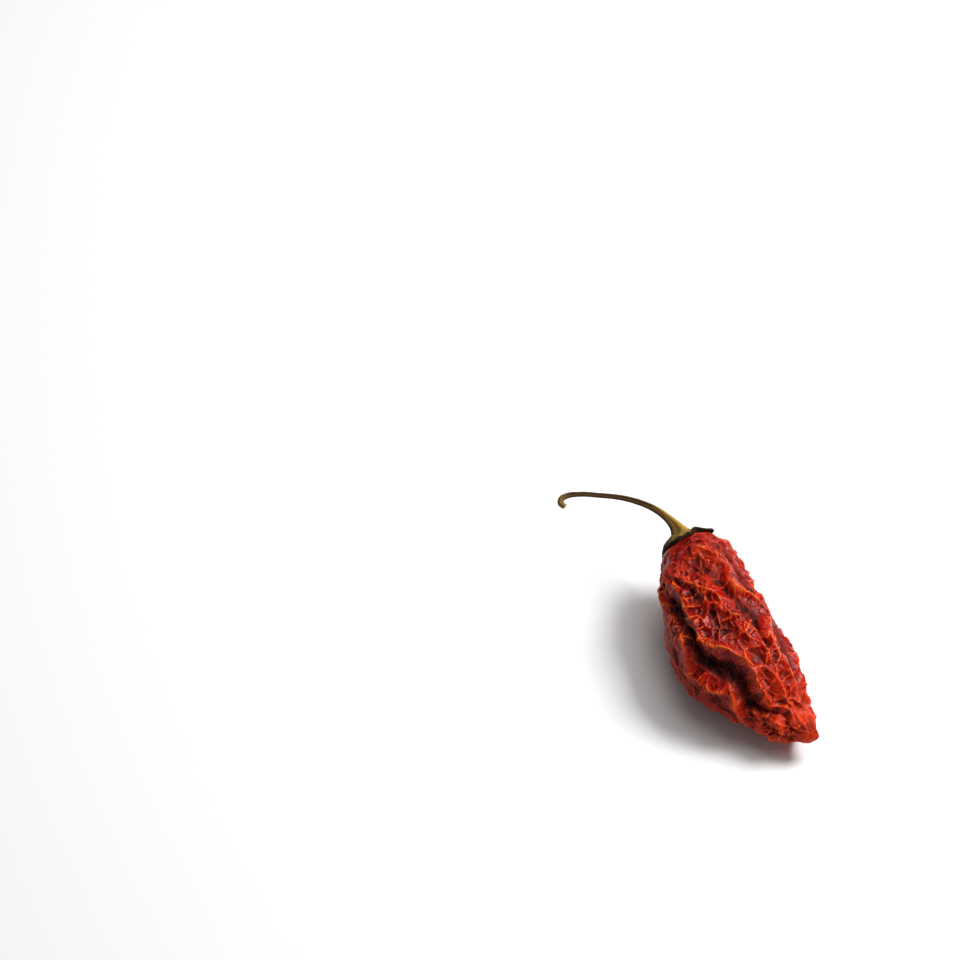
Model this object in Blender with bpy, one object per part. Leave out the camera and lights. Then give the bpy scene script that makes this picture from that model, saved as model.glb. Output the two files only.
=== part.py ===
"""Dried ghost pepper: a wrinkled pod with its calyx and its stem, lying on its belly.

Every piece is worked out in the pod's own frame, in millimetres: +X runs from the calyx to the
tip, angles go round +X from straight up (0) towards -Y (90). The whole pepper is then leant into
the pose in which it rests and moved so that the origin is at the middle of its foot print.
"""
import math

import bmesh
import bpy
import numpy as np
from mathutils import Vector

MM = 0.001

# Pod: (distance along, radius) from the pole under the calyx, round the shoulder, to the tip
POD_PROFILE = (
    (1.2, 0.0), (0.7, 2.5), (0.6, 4.6), (1.9, 6.5), (4.6, 8.0), (8.5, 9.3), (13.5, 10.5),
    (19.0, 11.7), (25.0, 12.4), (31.0, 12.3), (37.0, 11.0), (42.5, 9.0), (47.5, 6.5),
    (51.5, 4.7), (54.4, 3.3), (56.0, 1.9), (56.4, 0.0),
)
# (distance along, sideways bow) of the pod's middle line
POD_BOW = (
    (0, 0), (6, -1.2), (13, -3.1), (20, -5.2), (25, -6.1), (31, -6.1), (38, -5.3), (46, -4.1),
    (52, -2.8), (56.4, -0.6),
)
POD_LENGTH = 56.4
# The shoulder slumps towards the tip on one side: how far, where round the pod, how far down it
SLUMP = 0.9
SLUMP_ANGLE = -45
SLUMP_END = (3.0, 15.0)
TOP_HEIGHT = 0.94
# (distance along, height over radius) of the underside, which sags at the belly
UNDERSIDE = (
    (0, 0.94), (8, 1.02), (16, 1.07), (23, 1.02), (29, 0.92), (36, 0.84), (44, 0.84), (52, 0.94),
    (56.4, 0.94),
)

# Main folds: (share of the length, angle) down each one, then how high it stands
FOLDS = (
    (((0.06, 72), (0.15, 63), (0.22, 54), (0.29, 44), (0.39, 38), (0.53, 34), (0.58, 21), (0.69, 13),
      (0.75, 25), (0.82, 28), (0.87, 10), (0.96, 18), (1.0, 17)), 1.1),
    (((0.05, 108), (0.2, 88), (0.35, 63), (0.48, 64), (0.54, 72), (0.67, 65), (0.70, 59), (0.78, 84),
      (0.85, 110), (1.0, 118)), 0.9),
    (((0.76, 84), (0.80, 66), (0.87, 47), (0.91, 52), (1.0, 60)), 0.8),
    (((0.06, 14), (0.12, 0), (0.22, -20), (0.37, -28), (0.42, -46), (0.48, -54), (0.57, -32), (0.7, -28),
      (0.81, -29), (0.93, -16), (1.0, -10)), 0.9),
    (((0.06, 66), (0.1, 62), (0.21, 40), (0.28, 17), (0.33, 6), (0.49, -5), (0.62, -14), (0.76, -4),
      (1.0, 0)), 0.7),
    (((0.05, -62), (0.2, -76), (0.35, -72), (0.5, -88), (0.67, -70), (0.75, -58), (0.86, -74),
      (1.0, -80)), 0.9),
    (((0.05, -112), (0.2, -124), (0.4, -114), (0.6, -128), (0.8, -118), (1.0, -120)), 0.8),
    (((0.05, -148), (0.2, -155), (0.4, -157), (0.6, -152), (0.8, -160), (1.0, -150)), 1.4),
    (((0.05, 150), (0.2, 160), (0.4, 164), (0.6, 166), (0.8, 158), (1.0, 165)), 0.85),
    (((0.05, 130), (0.25, 122), (0.45, 128), (0.65, 118), (0.8, 134), (1.0, 140)), 0.6),
)
FOLD_WIDTH = 1.2
HOLLOW_DEPTH = 0.95
HOLLOW_REACH = (0.3, 4.5)
# Shares of the length over which the hollows and the pockets set in below the calyx
HOLLOW_START = (0.06, 0.26)
POCKET_START = (0.04, 0.14)

# Valleys: (share of the length, angle) down each one, its depth and its width
VALLEYS = (
    (((0.22, 74), (0.3, 56), (0.4, 51), (0.5, 53), (0.6, 45), (0.7, 37), (0.78, 48), (0.88, 30)), 1.6, 3.2),
    (((0.27, -8), (0.375, -15), (0.43, -22), (0.5, -29), (0.59, -20), (0.66, -24)), 0.55, 1.0),
)

# Wrinkles between the folds: size of a pocket along and across, and how deep it is
LARGE_POCKET = (4.4, 3.4)
LARGE_DEPTH = 0.7
SMALL_POCKET = (2.6, 2.0)
SMALL_DEPTH = 0.75
POCKET_STEEPNESS = 5.5
POCKET_TILT = 1.8
SMOOTH_PATCH = 7.0
# Size of the bends with which folds and pockets wander, and how far they stray
FOLD_WANDER = (3.2, 0.9)
LARGE_WANDER = (6.0, 1.3)
SMALL_WANDER = (2.8, 0.85)

# Calyx: a thin cap on the shoulder, with a lumpy collar round the foot of the stem
GAP = 0.3
# (angle, distance over the shoulder from the pole) of its toothed edge
CALYX_RIM = (
    (-180, 6.8), (-166, 7.0), (-150, 6.3), (-135, 6.4), (-119, 7.1), (-104, 6.5), (-86, 6.2), (-70, 6.5),
    (-60, 7.1), (-52, 7.6), (-45, 7.2), (-38, 5.6), (-30, 4.5), (-20, 4.3), (-9, 5.2), (0, 6.3), (10, 6.6),
    (24, 6.9), (36, 7.3), (46, 7.0), (60, 6.5), (76, 6.5), (94, 6.2), (110, 6.3), (130, 7.0), (148, 6.4),
    (165, 7.0), (180, 6.8),
)
CAP_THICKNESS = 0.62
COLLAR_RADIUS = 4.0
COLLAR_HEIGHT = 0.5
COLLAR_WIDTH = 0.8
CURLED_TOOTH_ANGLE = -52
CURLED_TOOTH_WIDTH = 0.22
CURLED_TOOTH_LIFT = 0.55

# Stem: places along its middle line, then (share of the line, radius)
STEM_LINE = (
    (-1.0, 0.0, 0.0), (-2.9, 0.1, 0.2), (-6.1, -0.4, 0.3), (-9.0, -1.4, 0.2), (-12.6, -3.7, 0.0),
    (-15.9, -6.8, -0.4), (-18.8, -10.7, -0.8), (-21.2, -14.5, -1.1), (-22.2, -17.0, -1.3),
    (-22.1, -18.7, -1.5), (-21.3, -19.3, -1.8), (-20.2, -18.8, -2.0),
)
STEM_RADII = (
    (0.0, 2.85), (0.015, 2.4), (0.035, 1.9), (0.065, 1.48), (0.105, 1.15), (0.16, 0.92), (0.26, 0.74),
    (0.4, 0.64), (0.6, 0.56), (0.85, 0.58), (0.95, 0.66), (1.0, 0.6),
)
STEM_STATIONS = 44
STEM_RIBS = 5
RIB_HEIGHT = 0.12
SECTION_POINTS = 15

# Resting pose: how far the tip leans down, and how much the lowest folds are pressed flat
LEAN = 11.0
PRESSED = 0.45

POD_RINGS = 128
POD_SEGMENTS = 150
POD_KEPT_FACES = 0.26
CALYX_RINGS = 28
CALYX_SEGMENTS = 45


def spline(at, knots):
    """Smooth curve through unevenly spaced knots (place, value)."""
    knots = np.array(knots, dtype=float)
    place, value = knots[:, 0], knots[:, 1]
    step = np.diff(place)
    rise = np.diff(value) / step
    inner = (rise[:-1] * step[1:] + rise[1:] * step[:-1]) / (step[1:] + step[:-1])
    slope = np.concatenate([rise[:1], inner, rise[-1:]])
    i = np.clip(np.searchsorted(place, at, side="right") - 1, 0, len(step) - 1)
    u = np.clip((at - place[i]) / step[i], 0.0, 1.0)
    start = (2 * u**3 - 3 * u**2 + 1) * value[i] + (u**3 - 2 * u**2 + u) * step[i] * slope[i]
    return start + (3 * u**2 - 2 * u**3) * value[i + 1] + (u**3 - u**2) * step[i] * slope[i + 1]


def ease(at, low, high):
    """0 below low, 1 above high, smooth between."""
    u = np.clip((at - low) / (high - low), 0.0, 1.0)
    return u * u * (3 - 2 * u)


def hash_unit(cell, seed):
    """A fixed pseudo-random number from 0 to 1 for each whole-number cell."""
    x, y, z = (cell[..., k].astype(np.uint64) for k in range(3))
    mixed = x * np.uint64(73856093) ^ y * np.uint64(19349663) ^ z * np.uint64(83492791)
    mixed ^= np.uint64(seed * 2654435761 % 2**32)
    for shift, factor in ((33, 0xFF51AFD7ED558CCD), (29, 0xC4CEB9FE1A85EC53)):
        mixed = (mixed ^ (mixed >> np.uint64(shift))) * np.uint64(factor)
    return (mixed >> np.uint64(40)).astype(float) / 2**24


def soft_noise(points, seed):
    """Gradient noise, about -1 to 1, one bump to a unit cell."""
    cell = np.floor(points).astype(np.int64)
    f = points - cell
    fade = f**3 * (f * (f * 6 - 15) + 10)
    total = np.zeros(len(points))
    for corner in np.ndindex(2, 2, 2):
        corner = np.array(corner)
        height = hash_unit(cell + corner, seed) * 2 - 1
        turn = hash_unit(cell + corner, seed + 1) * math.tau
        flat = np.sqrt(1 - height**2)
        lean = np.stack([flat * np.cos(turn), flat * np.sin(turn), height], axis=-1)
        weight = np.prod(np.where(corner == 1, fade, 1 - fade), axis=-1)
        total += weight * np.sum(lean * (f - corner), axis=-1)
    return total * 1.6


def bent(points, size, amount, seed):
    """Points pushed about by soft noise, so that what is drawn with them wanders."""
    push = [soft_noise(points / size, seed + k) for k in range(3)]
    return points + amount * np.stack(push, axis=-1)


def pockets(points, seed):
    """Scattered cells: 0 on their sharp borders, falling to slanting floors at -1 in the deepest."""
    home = np.floor(points).astype(np.int64)
    first = np.full(len(points), 9.0)
    second = np.full(len(points), 9.0)
    floor = np.zeros(len(points))
    for step in np.ndindex(3, 3, 3):
        cell = home + np.array(step) - 1
        scatter = np.stack([hash_unit(cell, seed + k) for k in range(3)], axis=-1)
        offset = points - cell - 0.5 - 0.95 * (scatter - 0.5)
        away = np.linalg.norm(offset, axis=-1)
        slant = np.stack([hash_unit(cell, seed + 5 + k) - 0.5 for k in range(3)], axis=-1)
        depth = 0.15 + 0.85 * hash_unit(cell, seed + 9) + POCKET_TILT * np.sum(slant * offset, axis=-1)
        second = np.where(away < first, first, np.minimum(second, away))
        floor = np.where(away < first, depth, floor)
        first = np.minimum(first, away)
    inward = (second - first) / (second + first)
    return -floor * (1 - np.exp(-POCKET_STEEPNESS * inward))


def pod_base(share, angle):
    """Smooth pod: places, outward normals and radii, share 0 to 1 from calyx to tip."""
    profile = np.array(POD_PROFILE)
    steps = np.hypot(*np.diff(profile, axis=0).T)
    station = np.concatenate([[0.0], np.cumsum(steps)]) / steps.sum()

    def place(share, angle):
        along = spline(share, np.column_stack([station, profile[:, 0]]))
        radius = np.abs(spline(share, np.column_stack([station, profile[:, 1]])))
        sag = spline(along, UNDERSIDE)
        height = TOP_HEIGHT + (sag - TOP_HEIGHT) * ease(-np.cos(angle), 0.0, 0.8)
        side = spline(along, POD_BOW) - radius * np.sin(angle)
        slump = ease(np.cos(angle - math.radians(SLUMP_ANGLE)), -0.3, 1.0) * ease(radius, 0.0, 5.5)
        along = along + SLUMP * slump * (1 - ease(along, *SLUMP_END))
        return np.stack([along, side, radius * np.cos(angle) * height], axis=-1), radius

    points, radius = place(share, angle)
    tiny = 1e-4
    along = place(np.minimum(share + tiny, 1), angle)[0] - place(np.maximum(share - tiny, 0), angle)[0]
    round_it = np.stack([np.zeros_like(angle), -np.cos(angle), -np.sin(angle) * TOP_HEIGHT], axis=-1)
    normal = np.cross(round_it, along)
    normal /= np.maximum(np.linalg.norm(normal, axis=-1, keepdims=True), 1e-12)
    return points, normal, radius


def gap_to(line, length_share, angle, radius):
    """Distance round the skin to a line of (share of the length, angle)."""
    turn = angle - np.radians(spline(length_share, line))
    return np.abs((turn + math.pi) % math.tau - math.pi) * radius


def fold_height(length_share, angle, radius):
    """Sharp ridges along the main folds, a broad hollow between each two, and the valleys."""
    ridge = np.zeros_like(angle)
    nearest = np.full_like(angle, 99.0)
    for line, height in FOLDS:
        start = line[0][0]
        strength = ease(length_share, start - 0.02, start + 0.06)
        strength = strength * (1 - 0.6 * ease(length_share, 0.9, 1.0))
        gap = gap_to(line, length_share, angle, radius) + (1 - strength) * 2 * HOLLOW_REACH[1]
        ridge = np.maximum(ridge, height * strength * np.exp(-gap / FOLD_WIDTH))
        nearest = np.minimum(nearest, gap)
    sunk = HOLLOW_DEPTH * ease(nearest, *HOLLOW_REACH) * ease(length_share, *HOLLOW_START)
    for line, depth, width in VALLEYS:
        start, end = line[0][0], line[-1][0]
        strength = ease(length_share, start - 0.04, start + 0.06)
        strength = strength * (1 - ease(length_share, end - 0.06, end + 0.04))
        gap = gap_to(line, length_share, angle, radius)
        sunk += depth * strength * np.exp(-(gap / width) ** 2)
    return ridge - sunk


def pod_relief(points, angle, radius):
    """How far the skin stands out from the smooth pod."""
    length_share = np.clip(points[:, 0] / POD_LENGTH, 0, 1)
    bend, stray = FOLD_WANDER
    wander = angle + stray * soft_noise(points / bend, 5) / np.maximum(radius, 2.0)
    relief = fold_height(length_share, wander, radius)
    full = 0.6 + 0.4 * ease(length_share, *POCKET_START)
    large = bent(points, *LARGE_WANDER, 11) / np.array([LARGE_POCKET[0], LARGE_POCKET[1], LARGE_POCKET[1]])
    relief += LARGE_DEPTH * full * pockets(large, 21)
    small = bent(points, *SMALL_WANDER, 31) / np.array([SMALL_POCKET[0], SMALL_POCKET[1], SMALL_POCKET[1]])
    rough = 0.5 + 0.5 * ease(soft_noise(points / SMOOTH_PATCH, 51), -0.35, 0.25)
    relief += SMALL_DEPTH * rough * full * pockets(small, 41)
    at_tip = 0.3 + 0.7 * ease(radius, 0.3, 5.0)
    return np.where(length_share > 0.5, relief * at_tip, relief)


def turn_from(angle, degrees):
    """How far an angle is from a fixed one, the shorter way round."""
    return (angle - math.radians(degrees) + math.pi) % math.tau - math.pi


def calyx_rim(angle):
    """Distance over the shoulder from the pole to the calyx's edge, with its teeth and scallops."""
    scallops = 0.12 * np.sin(angle * 11 + 1.0) * np.sin(angle * 4)
    return spline(np.degrees(turn_from(angle, 0)), CALYX_RIM) + scallops


def pod_length_over_skin():
    """Length of the pod's profile, from pole to pole."""
    return np.hypot(*np.diff(np.array(POD_PROFILE), axis=0).T).sum()


def pod_skin(share, angle):
    """The pod's wrinkled skin, smooth where the calyx covers it."""
    points, normal, radius = pod_base(share, angle)
    from_pole = share * pod_length_over_skin()
    bare = ease(from_pole - calyx_rim(angle), -0.9, 1.1)
    relief = pod_relief(points, angle, radius)
    return points + normal * (np.minimum(relief, relief * bare) * (0.1 + 0.9 * bare))[:, None]


def calyx_skin(share, angle):
    """The calyx: its outer face from the middle to the rim, then its inner face back."""
    inner = share > 0.5
    out = np.where(inner, 1 - share, share) * 2
    rim = calyx_rim(angle)
    points, normal, radius = pod_base(out * rim / pod_length_over_skin(), angle)
    lumps = 1 + 0.3 * np.sin(angle * 6 + 0.8) + 0.2 * np.sin(angle * 9)
    collar = COLLAR_HEIGHT * lumps * np.exp(-((out * rim - COLLAR_RADIUS) / COLLAR_WIDTH) ** 2)
    creases = 0.12 * np.sin(angle * 17) * ease(out, 0.55, 0.8)
    thick = CAP_THICKNESS + collar + creases
    at_tooth = np.exp(-(turn_from(angle, CURLED_TOOTH_ANGLE) / CURLED_TOOTH_WIDTH) ** 2)
    curl = CURLED_TOOTH_LIFT * at_tooth * ease(out, 0.72, 1.0)
    height = GAP + curl + np.where(inner, 0.0, thick * (1 - 0.9 * ease(out, 0.93, 1.0)))
    return points + normal * height[:, None]


def lean(points):
    """From the pod's own frame to the resting pose."""
    turn = math.radians(LEAN)
    along = points[:, 0] * math.cos(turn) + points[:, 2] * math.sin(turn)
    up = points[:, 2] * math.cos(turn) - points[:, 0] * math.sin(turn)
    return np.stack([along, points[:, 1], up], axis=-1)


def material(name, colour, roughness):
    """A Principled material of one colour."""
    made = bpy.data.materials.new(name)
    made.use_nodes = True
    shader = made.node_tree.nodes["Principled BSDF"]
    shader.inputs["Base Color"].default_value = (*colour, 1)
    shader.inputs["Roughness"].default_value = roughness
    shader.inputs["Metallic"].default_value = 0.0
    return made


def formed_ball(name, rings, segments, skin):
    """A UV sphere whose vertices are moved on to a skin, given by share and angle."""
    mesh = bpy.data.meshes.new(name)
    shape = bmesh.new()
    bmesh.ops.create_uvsphere(shape, u_segments=segments, v_segments=rings, radius=1.0)
    shape.to_mesh(mesh)
    shape.free()
    ball = np.empty(len(mesh.vertices) * 3)
    mesh.vertices.foreach_get("co", ball)
    ball = ball.reshape(-1, 3)
    share = np.arccos(np.clip(ball[:, 2], -1, 1)) / math.pi
    angle = -np.arctan2(ball[:, 1], ball[:, 0])
    mesh.vertices.foreach_set("co", (lean(skin(share, angle)) * MM).ravel())
    mesh.update()
    mesh.shade_smooth()
    return bpy.data.objects.new(name, mesh)


def make_pod(collection):
    """The fruit as one closed solid, thinned to the faces that its folds need and pressed flat below."""
    pod = formed_ball("pod", POD_RINGS, POD_SEGMENTS, pod_skin)
    thin = pod.modifiers.new("Thin", "DECIMATE")
    thin.ratio = POD_KEPT_FACES
    thin.use_collapse_triangulate = True
    collection.objects.link(pod)
    thinned = bpy.data.meshes.new_from_object(pod.evaluated_get(bpy.context.evaluated_depsgraph_get()))
    pod.modifiers.clear()
    pod.data = thinned
    floor = min(vertex.co.z for vertex in thinned.vertices) + PRESSED * MM
    for vertex in thinned.vertices:
        vertex.co.z = max(vertex.co.z, floor)
    thinned.materials.append(material("pod_skin", (0.42, 0.03, 0.015), 0.42))
    return pod


def make_calyx():
    """The dried cap that holds the pod to its stem."""
    calyx = formed_ball("calyx", CALYX_RINGS, CALYX_SEGMENTS, calyx_skin)
    calyx.data.materials.append(material("calyx_skin", (0.09, 0.05, 0.02), 0.7))
    return calyx


def make_section():
    """The stem's cross section, a circle raised into ribs, as a closed curve of unit radius."""
    curve = bpy.data.curves.new("stem_section", "CURVE")
    curve.dimensions = "2D"
    line = curve.splines.new("POLY")
    line.points.add(SECTION_POINTS - 1)
    for i, point in enumerate(line.points):
        angle = -math.tau * i / SECTION_POINTS
        radius = 1 + RIB_HEIGHT * math.cos(STEM_RIBS * angle)
        point.co = (radius * math.cos(angle) * MM, radius * math.sin(angle) * MM, 0, 1)
    line.use_cyclic_u = True
    section = bpy.data.objects.new("stem_section", curve)
    section.hide_render = True
    section.display_type = "WIRE"
    return section


def make_stem(section):
    """The hooked stem: the ribbed section carried along its line, flared where it meets the calyx."""
    line = np.array(STEM_LINE)
    steps = np.linalg.norm(np.diff(line, axis=0), axis=1)
    station = np.concatenate([[0.0], np.cumsum(steps)]) / steps.sum()
    share = np.linspace(0, 1, STEM_STATIONS) ** 1.25
    middle = np.stack([spline(share, np.column_stack([station, line[:, k]])) for k in range(3)], axis=-1)
    middle = lean(middle)
    radius = spline(share, STEM_RADII)
    curve = bpy.data.curves.new("stem", "CURVE")
    curve.dimensions = "3D"
    curve.render_resolution_u = 0
    curve.bevel_mode = "OBJECT"
    curve.bevel_object = section
    curve.use_fill_caps = True
    path = curve.splines.new("POLY")
    path.points.add(STEM_STATIONS - 1)
    for point, place, size in zip(path.points, middle, radius):
        point.co = (*(place * MM), 1)
        point.radius = size
    curve.materials.append(material("stem_bark", (0.22, 0.15, 0.06), 0.65))
    return bpy.data.objects.new("stem", curve)


def world_points(thing):
    """The corners of an object's finished mesh."""
    finished = thing.evaluated_get(bpy.context.evaluated_depsgraph_get())
    mesh = finished.to_mesh()
    points = [thing.matrix_world @ vertex.co for vertex in mesh.vertices]
    finished.to_mesh_clear()
    return points


def centre_on_ground(things):
    """Moves the pepper so that the origin is under the middle of its box, on the surface."""
    bpy.context.view_layer.update()
    points = np.array([point for thing in things for point in world_points(thing)])
    low, high = points.min(axis=0), points.max(axis=0)
    shift = Vector((-(low[0] + high[0]) / 2, -(low[1] + high[1]) / 2, -low[2]))
    for thing in things:
        thing.location = shift


def main():
    for thing in list(bpy.data.objects):
        bpy.data.objects.remove(thing, do_unlink=True)
    pepper = bpy.data.collections.new("ghost_pepper")
    guides = bpy.data.collections.new("guides")
    for collection in (pepper, guides):
        bpy.context.scene.collection.children.link(collection)
    section = make_section()
    guides.objects.link(section)
    pieces = [make_pod(pepper), make_calyx(), make_stem(section)]
    for piece in pieces[1:]:
        pepper.objects.link(piece)
    centre_on_ground(pieces)


main()
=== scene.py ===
"""A dried ghost pepper on a pale floor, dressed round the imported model.

The pepper's three pieces are worked out in the pod's own frame, in millimetres: +X runs from the
calyx to the tip, and angles go round +X from straight up (0) towards -Y (90). A Rest then leans
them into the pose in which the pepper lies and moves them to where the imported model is.
"""
import logging
import math
from dataclasses import dataclass
from enum import Enum

import bpy
import numpy as np
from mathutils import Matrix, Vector

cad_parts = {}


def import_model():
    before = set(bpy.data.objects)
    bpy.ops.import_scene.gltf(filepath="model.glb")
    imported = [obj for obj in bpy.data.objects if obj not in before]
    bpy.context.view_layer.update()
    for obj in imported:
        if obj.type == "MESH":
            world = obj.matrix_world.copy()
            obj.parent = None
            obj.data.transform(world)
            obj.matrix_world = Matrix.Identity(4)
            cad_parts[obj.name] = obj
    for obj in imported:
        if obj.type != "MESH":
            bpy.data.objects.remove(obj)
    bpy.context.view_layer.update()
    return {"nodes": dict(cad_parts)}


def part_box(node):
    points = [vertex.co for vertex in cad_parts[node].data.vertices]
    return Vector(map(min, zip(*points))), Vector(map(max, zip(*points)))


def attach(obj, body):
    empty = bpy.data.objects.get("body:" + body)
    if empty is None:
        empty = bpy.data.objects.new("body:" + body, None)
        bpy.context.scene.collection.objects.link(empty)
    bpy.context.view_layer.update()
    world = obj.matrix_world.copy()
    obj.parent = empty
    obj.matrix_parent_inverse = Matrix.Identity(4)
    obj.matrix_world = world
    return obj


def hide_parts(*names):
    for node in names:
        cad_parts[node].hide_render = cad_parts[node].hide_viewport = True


LOG = logging.getLogger("ghost_pepper")
MM = 0.001

# Brings soft noise to about -1 to 1
NOISE_GAIN = 1.6
# How far a pocket's seed strays in its cell, and how deep the shallowest pocket is
SEED_SCATTER = 0.95
SHALLOWEST = 0.15

Knots = tuple[tuple[float, float], ...]
Colour = tuple[float, float, float]


class Slot(Enum):
    """The record's material slots."""

    POD = "pod_skin"
    CALYX = "calyx_skin"
    STEM = "stem_bark"


def spline(at: np.ndarray, knots: Knots) -> np.ndarray:
    """Smooth curve through unevenly spaced knots.

    Each stretch is a cubic that meets its two knots, with the slopes there taken from the
    neighbouring stretches, each weighted by the other's length.

    Args:
        at: places to read the curve at, held to its two ends.
        knots: (place, value) pairs in order of place.

    Returns:
        The curve's value at each place.
    """
    table = np.array(knots, dtype=float)
    place, value = table[:, 0], table[:, 1]
    step = np.diff(place)
    rise = np.diff(value) / step
    inner = (rise[:-1] * step[1:] + rise[1:] * step[:-1]) / (step[1:] + step[:-1])
    slope = np.concatenate([rise[:1], inner, rise[-1:]])
    i = np.clip(np.searchsorted(place, at, side="right") - 1, 0, len(step) - 1)
    u = np.clip((at - place[i]) / step[i], 0.0, 1.0)
    start = (2 * u**3 - 3 * u**2 + 1) * value[i] + (u**3 - 2 * u**2 + u) * step[i] * slope[i]
    return start + (3 * u**2 - 2 * u**3) * value[i + 1] + (u**3 - u**2) * step[i] * slope[i + 1]


def ease(at: np.ndarray, low: float, high: float) -> np.ndarray:
    """0 below low, 1 above high, and 3u squared less 2u cubed between."""
    u = np.clip((at - low) / (high - low), 0.0, 1.0)
    return u * u * (3 - 2 * u)


def turn_from(angle: np.ndarray, degrees: np.ndarray | float) -> np.ndarray:
    """How far an angle is from another one given in degrees, the shorter way round."""
    return (angle - np.radians(degrees) + math.pi) % math.tau - math.pi


def hash_unit(cell: np.ndarray, seed: int) -> np.ndarray:
    """A fixed pseudo-random number from 0 to 1 for each whole-number cell."""
    x, y, z = (cell[..., k].astype(np.uint64) for k in range(3))
    mixed = x * np.uint64(73856093) ^ y * np.uint64(19349663) ^ z * np.uint64(83492791)
    mixed ^= np.uint64(seed * 2654435761 % 2**32)
    for shift, factor in ((33, 0xFF51AFD7ED558CCD), (29, 0xC4CEB9FE1A85EC53)):
        mixed = (mixed ^ (mixed >> np.uint64(shift))) * np.uint64(factor)
    return (mixed >> np.uint64(40)).astype(float) / 2**24


def soft_noise(points: np.ndarray, seed: int) -> np.ndarray:
    """Gradient noise: each cell corner has a random lean, blended by a quintic fade.

    Args:
        points: places in cells, one bump to a unit cell.
        seed: picks the leans.

    Returns:
        About -1 to 1 at each place.
    """
    cell = np.floor(points).astype(np.int64)
    f = points - cell
    fade = f**3 * (f * (f * 6 - 15) + 10)
    total = np.zeros(len(points))
    for corner in np.ndindex(2, 2, 2):
        at = np.array(corner)
        height = hash_unit(cell + at, seed) * 2 - 1
        turn = hash_unit(cell + at, seed + 1) * math.tau
        flat = np.sqrt(1 - height**2)
        lean = np.stack([flat * np.cos(turn), flat * np.sin(turn), height], axis=-1)
        weight = np.prod(np.where(at == 1, fade, 1 - fade), axis=-1)
        total += weight * np.sum(lean * (f - at), axis=-1)
    return total * NOISE_GAIN


def bent(points: np.ndarray, size: float, amount: float, seed: int) -> np.ndarray:
    """Points pushed about by soft noise, so that what is drawn with them wanders."""
    push = [soft_noise(points / size, seed + k) for k in range(3)]
    return points + amount * np.stack(push, axis=-1)


def pockets(
    points: np.ndarray, seed: int, steepness: float, tilt: float
) -> tuple[np.ndarray, np.ndarray]:
    """Scattered cells with sharp borders and slanting floors.

    Depth follows 1 less an exponential of how far a point lies inside its cell, which is the
    second nearest seed's distance less the nearest's, over their sum. Each floor slants its own way.

    Args:
        points: places in cells.
        seed: picks the seeds' places and each cell's depth and slant.
        steepness: how fast a cell falls away from its border.
        tilt: how steep the slants are.

    Returns:
        The height, 0 on the borders and about -1 in the deepest cells, and a tone, which is each
        cell's own from 0 to 1 and 0.5 on the borders.
    """
    home = np.floor(points).astype(np.int64)
    first = np.full(len(points), 9.0)
    second = np.full(len(points), 9.0)
    floor = np.zeros(len(points))
    tone = np.zeros(len(points))
    for step in np.ndindex(3, 3, 3):
        cell = home + np.array(step) - 1
        scatter = np.stack([hash_unit(cell, seed + k) for k in range(3)], axis=-1)
        offset = points - cell - 0.5 - SEED_SCATTER * (scatter - 0.5)
        away = np.linalg.norm(offset, axis=-1)
        slant = np.stack([hash_unit(cell, seed + 5 + k) - 0.5 for k in range(3)], axis=-1)
        depth = SHALLOWEST + (1 - SHALLOWEST) * hash_unit(cell, seed + 9)
        depth = depth + tilt * np.sum(slant * offset, axis=-1)
        second = np.where(away < first, first, np.minimum(second, away))
        floor = np.where(away < first, depth, floor)
        tone = np.where(away < first, hash_unit(cell, seed + 14), tone)
        first = np.minimum(first, away)
    inside = 1 - np.exp(-steepness * (second - first) / (second + first))
    return -floor * inside, 0.5 + (tone - 0.5) * inside


def blurred(field: np.ndarray, reach: int) -> np.ndarray:
    """A grid field averaged over a square of 2 reach + 1 cells, wrapping round its columns."""
    padded = np.pad(field, ((reach, reach), (0, 0)), mode="edge")
    rows = sum(padded[k : k + len(field)] for k in range(2 * reach + 1)) / (2 * reach + 1)
    return sum(np.roll(rows, k - reach, axis=1) for k in range(2 * reach + 1)) / (2 * reach + 1)


@dataclass
class Rest:
    """The pose in which the pepper lies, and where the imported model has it."""

    lean_deg: float = 11.0
    shift: np.ndarray | None = None

    def lean(self, points: np.ndarray) -> np.ndarray:
        """From the pod's own frame to the resting slant, turned about Y."""
        turn = math.radians(self.lean_deg)
        along = points[:, 0] * math.cos(turn) + points[:, 2] * math.sin(turn)
        up = points[:, 2] * math.cos(turn) - points[:, 0] * math.sin(turn)
        return np.stack([along, points[:, 1], up], axis=-1)

    def settle(self, points: np.ndarray, node: str) -> None:
        """Sets the shift that puts points, given in the pod's frame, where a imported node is.

        Args:
            points: the node's shape in the pod's own frame.
            node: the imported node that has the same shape.
        """
        leant = self.lean(points)
        low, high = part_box(node)
        middle = np.array((low + high) / 2) / MM
        self.shift = middle - (leant.min(axis=0) + leant.max(axis=0)) / 2

    def place(self, points: np.ndarray) -> np.ndarray:
        """From the pod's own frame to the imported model's, in millimetres."""
        return self.lean(points) + self.shift


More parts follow.
